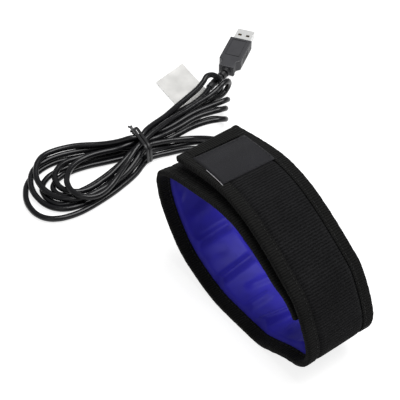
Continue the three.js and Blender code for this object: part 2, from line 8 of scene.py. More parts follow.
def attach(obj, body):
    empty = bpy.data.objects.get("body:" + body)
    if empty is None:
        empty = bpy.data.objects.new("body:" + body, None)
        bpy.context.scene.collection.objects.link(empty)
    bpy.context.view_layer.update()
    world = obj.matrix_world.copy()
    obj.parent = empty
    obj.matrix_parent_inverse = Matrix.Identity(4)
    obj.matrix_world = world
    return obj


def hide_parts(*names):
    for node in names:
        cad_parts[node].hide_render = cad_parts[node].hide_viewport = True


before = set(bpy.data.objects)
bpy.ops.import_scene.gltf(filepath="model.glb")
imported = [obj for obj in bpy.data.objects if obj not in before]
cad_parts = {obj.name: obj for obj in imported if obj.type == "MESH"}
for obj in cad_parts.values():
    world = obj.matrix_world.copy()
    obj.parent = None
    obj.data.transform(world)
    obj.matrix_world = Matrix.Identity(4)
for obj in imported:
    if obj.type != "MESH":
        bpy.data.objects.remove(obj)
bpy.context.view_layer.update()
scene = bpy.context.scene
MM = 0.001

# Studio: a white table with no visible edge, a large soft lamp overhead and a smaller one
# from the front, and the camera at the height and distance that the picture was taken from.
table_grey, table_glow, room_light = 0.4, 0.8, 0.34
table_width, table_gap = 12, 0.0004
bpy.ops.object.select_all(action="DESELECT")
bpy.ops.mesh.primitive_plane_add(size=table_width, location=(0, 0, -table_gap))
table = bpy.context.object
table.name = "white_table"
table_white = bpy.data.materials.new("white_table")
table_white.use_nodes = True
nodes, links = table_white.node_tree.nodes, table_white.node_tree.links
nodes.clear()
diffuse = nodes.new("ShaderNodeBsdfDiffuse")
diffuse.inputs["Color"].default_value = (table_grey, table_grey, table_grey, 1)
glow = nodes.new("ShaderNodeEmission")
rays = nodes.new("ShaderNodeLightPath")
seen = nodes.new("ShaderNodeMath")
seen.operation = "MAXIMUM"
both = nodes.new("ShaderNodeMath")
both.operation = "MAXIMUM"
level = nodes.new("ShaderNodeMath")
level.operation = "MULTIPLY"
level.inputs[1].default_value = table_glow
add = nodes.new("ShaderNodeAddShader")
out = nodes.new("ShaderNodeOutputMaterial")
links.new(rays.outputs["Is Camera Ray"], seen.inputs[0])
links.new(rays.outputs["Is Glossy Ray"], seen.inputs[1])
links.new(seen.outputs[0], both.inputs[0])
links.new(rays.outputs["Is Transmission Ray"], both.inputs[1])
links.new(both.outputs[0], level.inputs[0])
links.new(level.outputs[0], glow.inputs["Strength"])
links.new(diffuse.outputs[0], add.inputs[0])
links.new(glow.outputs[0], add.inputs[1])
links.new(add.outputs[0], out.inputs["Surface"])
table.data.materials.append(table_white)

world = bpy.data.worlds.new("studio")
scene.world = world
world.use_nodes = True
world.node_tree.nodes["Background"].inputs["Color"].default_value = (1, 1, 1, 1)
world.node_tree.nodes["Background"].inputs["Strength"].default_value = room_light
for name, place, aim, size, power in (
    ("overhead_softbox", (0.1, 0.32, 1.2), (-0.05, 0.0, 0.02), 0.9, 18.0),
    ("front_softbox", (0.5, -1.0, 0.9), (0.0, 0.0, 0.03), 0.7, 1.6),
):
    bpy.ops.object.light_add(type="AREA", location=place)
    lamp = bpy.context.object
    lamp.name = name
    lamp.data.size = size
    lamp.data.energy = power
    lamp.rotation_euler = (Vector(aim) - Vector(place)).to_track_quat("-Z", "Y").to_euler()
bpy.ops.object.camera_add(location=(0.4006, -0.3568, 0.6138))
camera = bpy.context.object
aim = Vector((-0.0843, 0.0194, 0.0))
camera.rotation_euler = (aim - camera.location).to_track_quat("-Z", "Y").to_euler()
camera.data.sensor_width = 36
camera.data.lens = 126
camera.data.clip_start = 0.01
scene.camera = camera
scene.view_settings.view_transform = "Standard"

# Cable: round two-core lead in black PVC, 3.8 mm across, extruded in one length. It is
# soldered to the heating wire inside the strip, folded back and forth seven times and
# laid as a hank, and ends in the plug's strain relief.
cable_diameter = 3.8 * MM
cable_route = [
    (-162.0, 87.6, 3.2), (-159.0, 81.3, 2.9), (-157.1, 74.6, 2.8), (-156.0, 67.7, 2.7),
    (-155.6, 60.7, 3.1), (-154.5, 53.9, 4.4), (-152.5, 47.3, 5.6), (-150.5, 40.7, 5.8),
    (-147.9, 34.3, 5.5), (-143.8, 28.7, 5.2), (-140.6, 23.1, 3.1), (-139.6, 16.2, 3.1),
    (-140.5, 9.4, 2.4), (-142.4, 2.6, 2.1), (-144.6, -4.0, 2.1), (-147.0, -10.6, 2.1),
    (-149.4, -17.1, 2.1), (-151.3, -23.8, 2.1), (-152.5, -30.7, 2.1), (-152.5, -37.7, 2.1),
    (-150.4, -44.3, 2.1), (-145.1, -48.5, 2.1), (-138.6, -47.1, 2.1), (-135.3, -41.1, 2.1),
    (-134.3, -34.2, 2.1), (-134.3, -27.2, 2.1), (-135.1, -20.2, 2.1), (-136.3, -13.4, 2.1),
    (-137.5, -6.5, 2.6), (-138.3, 0.4, 3.6), (-138.2, 7.3, 4.8), (-137.6, 14.1, 6.2), (-137.2, 21.0, 6.3),
    (-136.2, 27.9, 5.9), (-135.4, 34.9, 6.3), (-134.2, 41.7, 7.5), (-133.1, 48.4, 8.9),
    (-131.2, 55.0, 10.2), (-129.0, 61.6, 10.7), (-126.3, 68.0, 10.6), (-127.2, 73.7, 7.3),
    (-132.2, 75.0, 3.1), (-137.3, 70.9, 2.1), (-139.2, 64.1, 2.1), (-140.0, 57.2, 2.1),
    (-139.8, 50.2, 2.1), (-139.0, 43.3, 2.1), (-137.5, 36.5, 2.1), (-136.4, 29.6, 2.1),
    (-135.8, 22.6, 2.5), (-135.5, 15.7, 3.0), (-134.6, 8.8, 2.7), (-133.5, 1.9, 2.1), (-132.1, -5.0, 2.1),
    (-130.5, -11.8, 2.1), (-129.0, -18.6, 2.1), (-127.9, -25.5, 2.1), (-127.2, -32.5, 2.1),
    (-127.5, -39.4, 2.1), (-129.0, -46.3, 2.1), (-132.5, -52.2, 2.1), (-138.6, -55.5, 2.1),
    (-145.5, -55.5, 2.1), (-151.8, -52.7, 2.1), (-156.1, -47.2, 2.1), (-157.8, -40.5, 2.1),
    (-157.4, -33.5, 2.1), (-156.0, -26.7, 2.1), (-154.3, -19.9, 2.1), (-152.2, -13.2, 2.1),
    (-150.1, -6.6, 2.1), (-147.8, 0.1, 2.1), (-145.9, 6.8, 2.1), (-144.2, 13.5, 2.6), (-143.9, 20.4, 2.8),
    (-145.3, 27.1, 2.1), (-144.2, 34.0, 2.1), (-144.3, 41.0, 2.1), (-143.6, 47.9, 2.1),
    (-143.8, 54.9, 2.1), (-144.2, 61.9, 2.1), (-144.5, 68.9, 2.1), (-144.0, 75.8, 2.1),
    (-139.6, 80.6, 3.5), (-134.8, 79.8, 8.0), (-133.2, 74.1, 11.0), (-135.3, 67.4, 10.7),
    (-137.1, 60.7, 10.5), (-137.9, 53.8, 10.0), (-137.8, 46.8, 9.4), (-137.7, 39.8, 9.3),
    (-137.7, 32.8, 9.5), (-137.8, 25.9, 10.0), (-139.3, 19.0, 9.8), (-139.2, 12.1, 9.6),
    (-137.8, 5.4, 8.3), (-136.1, -1.2, 6.7), (-134.2, -7.8, 5.7), (-132.4, -14.6, 5.0),
    (-131.3, -21.5, 4.8), (-130.6, -28.4, 4.5), (-131.2, -35.4, 4.6), (-134.0, -41.6, 5.6),
    (-139.9, -45.0, 5.2), (-146.8, -45.1, 5.2), (-153.0, -42.2, 5.6), (-157.0, -36.6, 5.8),
    (-158.7, -29.9, 5.4), (-158.0, -23.0, 4.8), (-156.1, -16.3, 4.8), (-153.6, -9.7, 5.1),
    (-151.1, -3.2, 5.4), (-148.1, 3.1, 5.7), (-144.5, 9.1, 5.8), (-141.8, 15.4, 6.3), (-140.9, 22.3, 6.8),
    (-140.1, 29.1, 6.4), (-141.9, 35.7, 5.2), (-143.0, 42.6, 5.7), (-145.5, 49.1, 6.1),
    (-148.6, 55.3, 5.8), (-150.1, 62.1, 5.4), (-150.4, 69.1, 5.3), (-150.9, 76.1, 4.9),
    (-151.6, 82.8, 3.2), (-152.0, 89.5, 2.1), (-153.1, 95.5, 4.3), (-151.8, 96.0, 10.9),
    (-149.9, 90.8, 14.3), (-149.0, 84.2, 12.5), (-148.2, 77.4, 11.3), (-147.6, 70.4, 11.0),
    (-146.9, 63.4, 11.0), (-146.0, 56.5, 11.0), (-145.3, 49.6, 11.4), (-144.3, 42.7, 12.0),
    (-142.9, 35.9, 12.8), (-141.2, 29.1, 13.3), (-139.6, 22.3, 13.6), (-137.6, 15.6, 13.2),
    (-135.7, 9.0, 12.4), (-133.1, 2.7, 10.8), (-130.1, -3.5, 9.9), (-126.8, -9.7, 9.7),
    (-123.5, -15.9, 9.4), (-121.0, -22.3, 8.5), (-119.3, -29.1, 8.3), (-120.1, -36.0, 8.4),
    (-124.3, -41.4, 9.0), (-130.8, -43.6, 9.3), (-137.6, -42.6, 9.5), (-143.6, -39.2, 8.5),
    (-148.4, -34.2, 8.3), (-151.3, -27.9, 8.3), (-152.0, -20.9, 8.3), (-151.1, -14.0, 8.3),
    (-149.1, -7.3, 8.3), (-146.6, -0.8, 8.4), (-144.4, 5.8, 9.3), (-143.9, 12.7, 9.6),
    (-143.4, 19.7, 9.8), (-142.7, 26.6, 10.0), (-141.7, 33.5, 9.3), (-141.5, 40.5, 9.2),
    (-141.7, 47.5, 9.6), (-141.8, 54.4, 10.2), (-141.5, 61.4, 10.5), (-140.7, 68.3, 10.6),
    (-139.2, 75.1, 11.2), (-138.3, 82.0, 11.3), (-141.3, 86.5, 7.5), (-146.0, 85.2, 3.0),
    (-148.3, 79.0, 2.1), (-148.4, 72.0, 2.1), (-148.2, 65.1, 2.1), (-147.8, 58.1, 2.1),
    (-147.5, 51.1, 2.2), (-147.2, 44.4, 4.1), (-145.7, 38.2, 7.0), (-145.8, 31.7, 9.1),
    (-145.7, 25.1, 7.3), (-145.5, 18.2, 6.5), (-147.7, 11.6, 6.4), (-151.2, 5.6, 5.8),
    (-154.4, -0.6, 5.3), (-157.4, -6.9, 5.2), (-160.2, -13.3, 5.2), (-162.9, -19.8, 5.3),
    (-165.1, -26.4, 5.5), (-166.6, -33.2, 5.7), (-167.1, -40.2, 5.7), (-166.2, -47.1, 5.7),
    (-162.7, -53.0, 5.9), (-157.4, -57.4, 5.0), (-151.0, -60.0, 3.9), (-144.1, -60.5, 2.9),
    (-137.3, -59.3, 2.1), (-131.1, -56.1, 2.1), (-126.6, -50.8, 2.1), (-124.3, -44.2, 2.1),
    (-123.3, -37.3, 2.1), (-123.5, -30.3, 2.1), (-124.3, -23.4, 2.1), (-125.5, -16.5, 2.1),
    (-127.0, -9.7, 2.1), (-128.7, -2.9, 2.8), (-130.7, 3.6, 4.4), (-132.5, 10.2, 5.9),
    (-133.6, 17.0, 6.3), (-133.0, 23.8, 5.0), (-132.3, 30.5, 3.1), (-130.7, 37.2, 2.1),
    (-128.2, 43.8, 2.1), (-125.1, 50.1, 2.1), (-121.3, 55.9, 2.1), (-116.6, 61.1, 2.1),
    (-110.5, 63.8, 2.1), (-105.1, 61.1, 4.6), (-105.4, 56.6, 9.6), (-111.1, 53.8, 11.4),
    (-117.4, 53.0, 8.6), (-123.2, 49.8, 6.6), (-127.7, 44.6, 6.0), (-130.5, 38.3, 6.7),
    (-132.5, 31.7, 7.9), (-134.1, 25.0, 9.0), (-135.4, 18.1, 9.7), (-133.9, 11.4, 9.7),
    (-130.8, 5.3, 8.8), (-128.4, -1.1, 7.1), (-126.6, -7.7, 5.9), (-125.3, -14.6, 5.8),
    (-124.6, -21.5, 5.9), (-124.4, -28.5, 5.8), (-125.0, -35.5, 5.5), (-126.4, -42.3, 5.5),
    (-130.6, -47.8, 5.8), (-136.1, -52.0, 5.3), (-142.6, -54.4, 5.9), (-149.5, -55.0, 6.9),
    (-156.2, -53.6, 7.8), (-162.1, -50.0, 8.9), (-166.7, -44.8, 9.5), (-169.1, -38.4, 9.0),
    (-169.0, -31.4, 8.5), (-167.1, -24.7, 8.5), (-164.1, -18.4, 8.8), (-160.3, -12.6, 9.0),
    (-156.2, -6.9, 9.2), (-152.2, -1.2, 9.9), (-148.4, 4.5, 11.2), (-144.8, 10.1, 13.3),
    (-142.1, 16.3, 13.3), (-144.4, 22.8, 13.7), (-146.7, 29.3, 12.7), (-148.5, 36.0, 11.7),
    (-150.5, 42.6, 10.6), (-152.7, 49.2, 10.0), (-154.8, 55.9, 9.6), (-156.5, 62.6, 9.5),
    (-158.2, 69.4, 9.6), (-160.0, 76.2, 9.8), (-162.5, 82.7, 10.5), (-164.9, 89.0, 11.4),
    (-162.8, 94.5, 8.6), (-158.1, 94.6, 3.8), (-155.9, 88.6, 2.1), (-155.1, 81.7, 2.1),
    (-153.3, 74.9, 2.1), (-152.2, 68.0, 2.1), (-151.9, 61.1, 2.1), (-151.4, 54.1, 2.1),
    (-151.0, 47.1, 2.1), (-149.4, 40.3, 2.1), (-149.1, 33.4, 2.1), (-149.0, 26.4, 2.4),
    (-147.7, 19.6, 3.2), (-148.4, 12.7, 2.6), (-150.1, 6.0, 2.1), (-152.2, -0.7, 2.1),
    (-155.0, -7.1, 2.1), (-157.9, -13.5, 2.1), (-160.6, -19.9, 2.1), (-163.2, -26.4, 2.1),
    (-165.3, -33.1, 2.1), (-165.9, -40.0, 2.1), (-164.9, -47.0, 2.1), (-162.9, -53.6, 2.1),
    (-159.0, -59.4, 2.1), (-153.6, -63.8, 2.1), (-147.4, -67.0, 2.1), (-140.6, -68.5, 2.1),
    (-133.6, -68.2, 2.1), (-127.3, -65.3, 2.1), (-122.9, -59.9, 2.1), (-120.4, -53.4, 2.1),
    (-119.2, -46.6, 2.1), (-119.0, -39.6, 2.1), (-119.4, -32.6, 2.1), (-120.1, -25.6, 2.1),
    (-121.1, -18.7, 2.1), (-122.5, -11.9, 2.1), (-124.1, -5.1, 2.1), (-126.3, 1.6, 2.1),
    (-129.3, 7.9, 2.3), (-131.2, 14.5, 3.0), (-130.5, 21.4, 2.6), (-128.6, 28.1, 2.1),
    (-126.3, 34.7, 2.1), (-123.4, 41.0, 2.1), (-119.3, 46.7, 2.1), (-114.4, 51.7, 2.1),
    (-108.8, 55.9, 2.1), (-102.6, 58.9, 2.1), (-95.8, 60.8, 2.1), (-88.9, 61.5, 2.1), (-81.9, 61.1, 2.5),
    (-75.6, 59.5, 5.0), (-71.0, 57.0, 9.5), (-67.7, 54.4, 15.1), (-65.6, 51.9, 21.2), (-64.3, 49.5, 27.7),
    (-63.6, 47.2, 34.2), (-63.3, 44.7, 40.7), (-63.3, 40.4, 46.2), (-63.3, 33.9, 47.8),
]


def surface_group(name, inputs, outputs):
    """An empty shader group with these sockets, and its two end nodes."""
    group = bpy.data.node_groups.new(name, "ShaderNodeTree")
    for label, kind in inputs.items():
        group.interface.new_socket(label, in_out="INPUT", socket_type=kind)
    for label, kind in outputs.items():
        group.interface.new_socket(label, in_out="OUTPUT", socket_type=kind)
    return group, group.nodes.new("NodeGroupInput"), group.nodes.new("NodeGroupOutput")


def dress(name, group, values):
    """A material whose colour, roughness and relief come from the group, set to these values."""
    material = bpy.data.materials.new(name)
    material.use_nodes = True
    nodes, links = material.node_tree.nodes, material.node_tree.links
    surface = nodes.new("ShaderNodeGroup")
    surface.node_tree = group
    for label, value in values.items():
        surface.inputs[label].default_value = value
    for socket in surface.outputs:
        links.new(socket, nodes["Principled BSDF"].inputs[socket.name])
    return material


def spread(group, source, middle, less, more):
    """A value that runs from middle - less to middle + more as the source runs from 0 to 1."""
    value = group.nodes.new("ShaderNodeMapRange")
    for socket, offset in (("To Min", -less), ("To Max", more)):
        end = group.nodes.new("ShaderNodeMath")
        end.inputs[1].default_value = offset
        group.links.new(middle, end.inputs[0])
        group.links.new(end.outputs[0], value.inputs[socket])
    group.links.new(source, value.inputs["Value"])
    return value.outputs["Result"]


def tinted(group, source, colour, darkest, lightest):
    """The colour made darker or lighter as the source runs from 0 to 1."""
    tone = group.nodes.new("ShaderNodeMapRange")
    tone.inputs["To Min"].default_value = darkest
    tone.inputs["To Max"].default_value = lightest
    mixed = group.nodes.new("ShaderNodeMix")
    mixed.data_type = "RGBA"
    mixed.blend_type = "MULTIPLY"
    mixed.inputs["Factor"].default_value = 1
    group.links.new(source, tone.inputs["Value"])
    group.links.new(colour, mixed.inputs["A"])
    group.links.new(tone.outputs["Result"], mixed.inputs["B"])
    return mixed.outputs["Result"]


# Extruded soft plastic: faint grain, finger dust and a slightly uneven gloss.
soft_plastic, given, made = surface_group(
    "soft_plastic",
    {"Colour": "NodeSocketColor", "Gloss Loss": "NodeSocketFloat", "Grain": "NodeSocketFloat",
     "Grain Scale": "NodeSocketFloat"},
    {"Base Color": "NodeSocketColor", "Roughness": "NodeSocketFloat", "Normal": "NodeSocketVector"})
place = soft_plastic.nodes.new("ShaderNodeTexCoord")
grain = soft_plastic.nodes.new("ShaderNodeTexNoise")
grain.inputs["Detail"].default_value = 5
dust = soft_plastic.nodes.new("ShaderNodeTexNoise")
dust.inputs["Scale"].default_value = 90
relief = soft_plastic.nodes.new("ShaderNodeBump")
relief.inputs["Distance"].default_value = 0.2 * MM
links = soft_plastic.links
for texture in (grain, dust):
    links.new(place.outputs["Object"], texture.inputs["Vector"])
links.new(given.outputs["Grain Scale"], grain.inputs["Scale"])
links.new(given.outputs["Grain"], relief.inputs["Strength"])
links.new(grain.outputs["Fac"], relief.inputs["Height"])
links.new(tinted(soft_plastic, dust.outputs["Fac"], given.outputs["Colour"], 0.75, 1.3),
          made.inputs["Base Color"])
links.new(spread(soft_plastic, dust.outputs["Fac"], given.outputs["Gloss Loss"], 0.07, 0.1),
          made.inputs["Roughness"])
links.new(relief.outputs["Normal"], made.inputs["Normal"])


def sheath_finish(name, colour, roughness, bump, scale):
    """A soft plastic, foam or thread in its own colour, gloss and grain."""
    return dress(name, soft_plastic, {
        "Colour": (*colour, 1), "Gloss Loss": roughness, "Grain": bump, "Grain Scale": scale})


def cable_curve(name, points, diameter):
    """One open spline through the points, thickened to the cable's diameter."""
    data = bpy.data.curves.new(name, "CURVE")
    data.dimensions = "3D"
    data.bevel_depth = diameter / 2
    data.bevel_resolution = 3
    data.resolution_u = 6
    data.use_fill_caps = True
    spline = data.splines.new("BEZIER")
    spline.bezier_points.add(len(points) - 1)
    for knot, point in zip(spline.bezier_points, points):
        knot.co = Vector(point) * MM
        knot.handle_left_type = knot.handle_right_type = "AUTO"
    piece = bpy.data.objects.new(name, data)
    scene.collection.objects.link(piece)
    return piece


cable = cable_curve("cable", cable_route, cable_diameter)
black_pvc = sheath_finish("black_pvc", (0.004, 0.004, 0.005), 0.24, 0.05, 900)
black_pvc.node_tree.nodes["Principled BSDF"].inputs["Specular IOR Level"].default_value = 0.32
cable.data.materials.append(black_pvc)
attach(cable, "root")
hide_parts("cable_hank", "lead_to_band", "lead_to_plug")

# Twisted tie: a wire in a flat black plastic ribbon, wound twice round the waist of the hank
# and twisted together at its left side.
tie_middle = (-139.5, 15.5)
tie_ribbon = (1.9, 1.0)


def ribbon(name, path, width, thickness, side=Vector((0, 1, 0))):
    """A flat ribbon swept along the path, with rounded edges."""
    rounded = [(-1, -0.5), (-0.75, -1), (0.75, -1), (1, -0.5), (1, 0.5), (0.75, 1), (-0.75, 1), (-1, 0.5)]
    mesh = bmesh.new()
    rings = []
    for i, point in enumerate(path):
        before, after = path[max(i - 1, 0)], path[min(i + 1, len(path) - 1)]
        tangent = (after - before).normalized()
        across = (side - tangent * side.dot(tangent)).normalized()
        out = tangent.cross(across)
        ring = []
        for u, v in rounded:
            corner = point + across * u * width / 2 + out * v * thickness / 2
            ring.append(mesh.verts.new(corner * MM))
        rings.append(ring)
    for a, b in zip(rings, rings[1:]):
        for k in range(len(rounded)):
            after = (k + 1) % len(rounded)
            mesh.faces.new((a[k], a[after], b[after], b[k]))
    mesh.faces.new(rings[0][::-1])
    mesh.faces.new(rings[-1])
    bmesh.ops.recalc_face_normals(mesh, faces=mesh.faces)
    data = bpy.data.meshes.new(name)
    mesh.to_mesh(data)
    mesh.free()
    piece = bpy.data.objects.new(name, data)
    scene.collection.objects.link(piece)
    for face in data.polygons:
        face.use_smooth = True
    return piece


half_wide, low, high, corner, corner_steps = 11.2, 0.65, 15.9, 4.2, 6
wraps, wrap_pitch, wrap_lean = 2, 2.4, 0.2
lap = []
for sx, sz, first in ((-1, 1, 180), (1, 1, 90), (1, -1, 0), (-1, -1, -90)):
    for k in range(corner_steps + 1):
        angle = math.radians(first - 90 * k / corner_steps)
        cx = sx * (half_wide - corner)
        cz = (low + high) / 2 + sz * ((high - low) / 2 - corner)
        lap.append((cx + corner * math.cos(angle), cz + corner * math.sin(angle)))
path = []
for turn in range(wraps):
    for k, (x, z) in enumerate(lap):
        y = wrap_pitch * (turn + k / len(lap) - 1) - wrap_lean * x
        path.append(Vector((tie_middle[0] + x, tie_middle[1] + y, z)))
tie = ribbon("tie_wraps", path, *tie_ribbon)
black_ribbon = sheath_finish("black_ribbon", (0.008, 0.008, 0.009), 0.4, 0.3, 1500)
tie.data.materials.append(black_ribbon)
ends = []
twist_steps, twist_degrees, twist_radius, knot_at = 24, 720, 0.85, 0.625
end_ribbon, end_side = (1.3, 0.8), Vector((0.3, 1, 0.2))
for number, (reach, first) in enumerate((((-16.4, 3.4, 11.6), 0.0), ((-15.0, 0.4, 12.8), 180.0))):
    root = Vector((tie_middle[0] - half_wide, tie_middle[1] + wrap_pitch, 8.0))
    foot = root + Vector((-0.2, 0.6 - 0.9 * number, 1.0))
    knot = Vector((tie_middle[0] - 13.4, tie_middle[1] + 2.2, 10.4))
    last = Vector((tie_middle[0] + reach[0], tie_middle[1] + reach[1], reach[2]))
    twist = []
    for k in range(twist_steps + 1):
        t = k / twist_steps
        if t < knot_at:
            middle = foot.lerp(knot, t / knot_at)
        else:
            middle = knot.lerp(last, (t - knot_at) / (1 - knot_at))
        angle = math.radians(first + twist_degrees * t)
        swing = twist_radius * (1 - max(0, t - 0.6))
        twist.append(middle + Vector((math.cos(angle), math.sin(angle), 0)) * swing)
    ends.append(ribbon(f"tie_end_{number + 1}", twist, *end_ribbon, end_side))
    ends[-1].data.materials.append(black_ribbon)
for piece in [tie, *ends]:
    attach(piece, "root")
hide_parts("twist_tie")

# Plug, strain relief and gland: a flat plug with four gilt contacts on a dark insulator, in a
# folded steel shell and a moulded body of black PVC. Relief and gland are moulded on the cable.
moulded = {
    "plug_overmould": ((0.03, 0.03, 0.034), 0.5, 0.35, 1400),
    "plug_strain_relief": ((0.006, 0.006, 0.007), 0.45, 0.25, 1200),
    "cable_gland": ((0.014, 0.014, 0.016), 0.45, 0.25, 1200),
    "plug_tongue": ((0.012, 0.012, 0.013), 0.45, 0.05, 500),
}
for name, values in moulded.items():
    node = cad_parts[name]
    node.data.materials.clear()
    node.data.materials.append(sheath_finish(name + "_pvc", *values))


# Rolled sheet metal: fine lines along one way and a little wear.
rolled_metal, given, made = surface_group(
    "rolled_metal",
    {"Colour": "NodeSocketColor", "Gloss Loss": "NodeSocketFloat"},
    {"Base Color": "NodeSocketColor", "Roughness": "NodeSocketFloat"})
place = rolled_metal.nodes.new("ShaderNodeTexCoord")
stretch = rolled_metal.nodes.new("ShaderNodeMapping")
stretch.inputs["Scale"].default_value = (900, 900, 90)
lines = rolled_metal.nodes.new("ShaderNodeTexNoise")
lines.inputs["Scale"].default_value = 1
links = rolled_metal.links
links.new(place.outputs["Object"], stretch.inputs["Vector"])
links.new(stretch.outputs["Vector"], lines.inputs["Vector"])
links.new(tinted(rolled_metal, lines.outputs["Fac"], given.outputs["Colour"], 0.8, 1.0),
          made.inputs["Base Color"])
links.new(spread(rolled_metal, lines.outputs["Fac"], given.outputs["Gloss Loss"], 0.05, 0.1),
          made.inputs["Roughness"])


def metal_finish(name, colour, roughness, metallic=1.0):
    """A metal in its own colour and gloss."""
    material = dress(name, rolled_metal, {"Colour": (*colour, 1), "Gloss Loss": roughness})
    material.node_tree.nodes["Principled BSDF"].inputs["Metallic"].default_value = metallic
    return material


# Half of the shell's steel is white diffuse colour: painted reflection, so that it looks as bright as the
# light it mirrors.
steel = metal_finish("steel_painted_reflection", (0.86, 0.86, 0.85), 0.28, metallic=0.5)
gilt = metal_finish("gilt", (0.3, 0.2, 0.08), 0.35)
copper = metal_finish("copper", (0.75, 0.42, 0.28), 0.35)
contacts = [f"plug_contact_{number}" for number in range(1, 5)]
for name in ["plug_shell", *contacts]:
    finish = gilt if name in contacts else steel
    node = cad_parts[name]
    node.data.materials.clear()
    node.data.materials.append(finish)

# Tag: white plastic film folded once round the lead behind the plug and stuck to itself. It
# lies flat beside the lead; the side that shows is left bare.
tag_width, tag_length = 35.0, 26.8
tag_rest, tag_wave, curl_width, curl_height, film_thickness = 0.35, 0.12, 9, 0.6, 0.35
tag_corner, tag_along, tag_up = (-190.4, 64.1), (0.994, -0.113), (-0.19, 0.982)
bpy.ops.object.select_all(action="DESELECT")
bpy.ops.mesh.primitive_grid_add(x_subdivisions=28, y_subdivisions=22, size=1)
tag = bpy.context.object
tag.name = "tag"
for vertex in tag.data.vertices:
    u = (vertex.co.x + 0.5) * tag_width
    v = (vertex.co.y + 0.5) * tag_length
    curl = curl_height * max(0.0, (curl_width - u) / curl_width) ** 2
    lift = tag_rest + curl + tag_wave * math.sin(v * 0.25 + u * 0.1)
    x = tag_corner[0] + tag_along[0] * u + tag_up[0] * v
    y = tag_corner[1] + tag_along[1] * u + tag_up[1] * v
    vertex.co = Vector((x, y, lift)) * MM
solid = tag.modifiers.new("film", "SOLIDIFY")
solid.thickness = film_thickness * MM
solid.offset = 1
bpy.ops.object.modifier_apply(modifier="film")
bpy.ops.object.shade_smooth_by_angle(angle=math.radians(40))
white_film = sheath_finish("white_film", (0.58, 0.575, 0.56), 0.4, 0.04, 400)
tag.data.materials.append(white_film)
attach(tag, "root")
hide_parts("cable_tag")

# Strip: the shell, lining and tapes all follow one line, the outer face of the closed band
# seen from its end. It starts at the tab's end, goes over the top and round the right side,
# and ends beneath the tab.
strip_line = [
    (-54.7, 82.1), (-43.5, 84.6), (-32, 87), (-13, 89.4), (4, 87.6), (16, 83.9), (30, 77.3), (38, 72.8),
    (46, 67.8), (54, 62.4), (59.2, 55.5), (63.4, 47.5), (67.2, 38.5), (68.8, 31), (68, 24.3), (65, 18.4),
    (60, 14.2), (53.6, 12), (47, 9.6), (36, 4.2), (27, 0.6), (18, 0), (6, 0), (-4, 0), (-13, 0.9),
    (-22, 3.4), (-31, 7.2), (-40, 11.8), (-47, 17.4), (-53, 24.6), (-58.5, 32.6), (-63, 41), (-66, 50),
    (-67, 59), (-64.5, 66.5), (-57, 71.8), (-46, 75.2), (-36.3, 77.3), (-27.3, 78.9), (-15.5, 80.9),
    (-5.4, 81.3), (4.6, 80.2), (14.5, 76.7), (23.5, 72), (32.5, 66.6), (38.5, 62.6), (46, 59.6),
    (52, 55), (56.5, 49.6),
]


def smooth_line(points, step):
    """A smooth line through the points, cut into even steps."""
    points = [Vector((x, z)) for x, z in points]
    padded = [2 * points[0] - points[1], *points, 2 * points[-1] - points[-2]]
    fine = []
    for k in range(1, len(padded) - 2):
        a, b, c, d = padded[k - 1:k + 3]
        t1 = (b - a).length ** 0.5
        t2 = t1 + (c - b).length ** 0.5
        t3 = t2 + (d - c).length ** 0.5
        for j in range(40):
            t = t1 + (t2 - t1) * j / 40
            p = a.lerp(b, t / t1)
            q = b.lerp(c, (t - t1) / (t2 - t1))
            r = c.lerp(d, (t - t2) / (t3 - t2))
            u = p.lerp(q, t / t2)
            v = q.lerp(r, (t - t1) / (t3 - t1))
            fine.append(u.lerp(v, (t - t1) / (t2 - t1)))
    fine.append(points[-1])
    for p in fine:
        p.y = max(p.y, 0.0)
    walked = [0.0]
    for p, q in zip(fine, fine[1:]):
        walked.append(walked[-1] + (q - p).length)
    count = round(walked[-1] / step)
    even, k = [], 0
    for i in range(count + 1):
        s = walked[-1] * i / count
        while k < len(fine) - 2 and walked[k + 1] < s:
            k += 1
        even.append(fine[k].lerp(fine[k + 1], (s - walked[k]) / (walked[k + 1] - walked[k])))
    return even, walked[-1]


strip_steps, strip_length = smooth_line(strip_line, 1.0)
strip_step = strip_length / (len(strip_steps) - 1)

# Where the line passes mid height, down the right wall and up the left wall.
mid_height, left_wall, under_reach = 45, -23, 26
right_fold = next(i for i, p in enumerate(strip_steps) if p.y < mid_height and p.x > 0) * strip_step
left_fold = next(i for i, p in enumerate(strip_steps)
                 if p.x < left_wall and p.y > mid_height and i * strip_step > right_fold) * strip_step

# The tab sits a little askew, its far edge lies deeper than its near one, and its end slants.
half_band = 23.25
tab_skew, far_edge_drop, tab_slant = 5.5, 3.4, 4.6
label_start, label_end = 9.0, 40.0


def eased(value, low, high):
    """0 up to low, 1 from high on, and a smooth step between them."""
    t = min(1.0, max(0.0, (value - low) / (high - low)))
    return t * t * (3 - 2 * t)


def strip_place(s, across, depth):
    """The place, in millimetres, that is s along the strip, across it and below its face."""
    i = min(len(strip_steps) - 1.001, max(0.0, s / strip_step))
    k = int(i)
    here = strip_steps[k].lerp(strip_steps[k + 1], i - k)
    ahead, behind = strip_steps[min(k + 4, len(strip_steps) - 1)], strip_steps[max(k - 3, 0)]
    tangent = (ahead - behind).normalized()
    if s < 0:
        here = here + tangent * s
    if s > strip_length:
        here = here + tangent * (s - strip_length)
    tab = 1 - eased(s, 0, right_fold)
    under = eased(s, left_fold, left_fold + under_reach)
    inwards = depth + far_edge_drop * max(tab, under) * (across + half_band) / (2 * half_band)
    y = across + tab_skew * (tab - 0.5)
    hem = min(1.0, max(0.0, 1 - s / label_start))
    here = here - tangent * tab_slant * hem * (across + half_band) / (2 * half_band)
    return Vector((here.x + tangent.y * inwards, y, here.y - tangent.x * inwards))


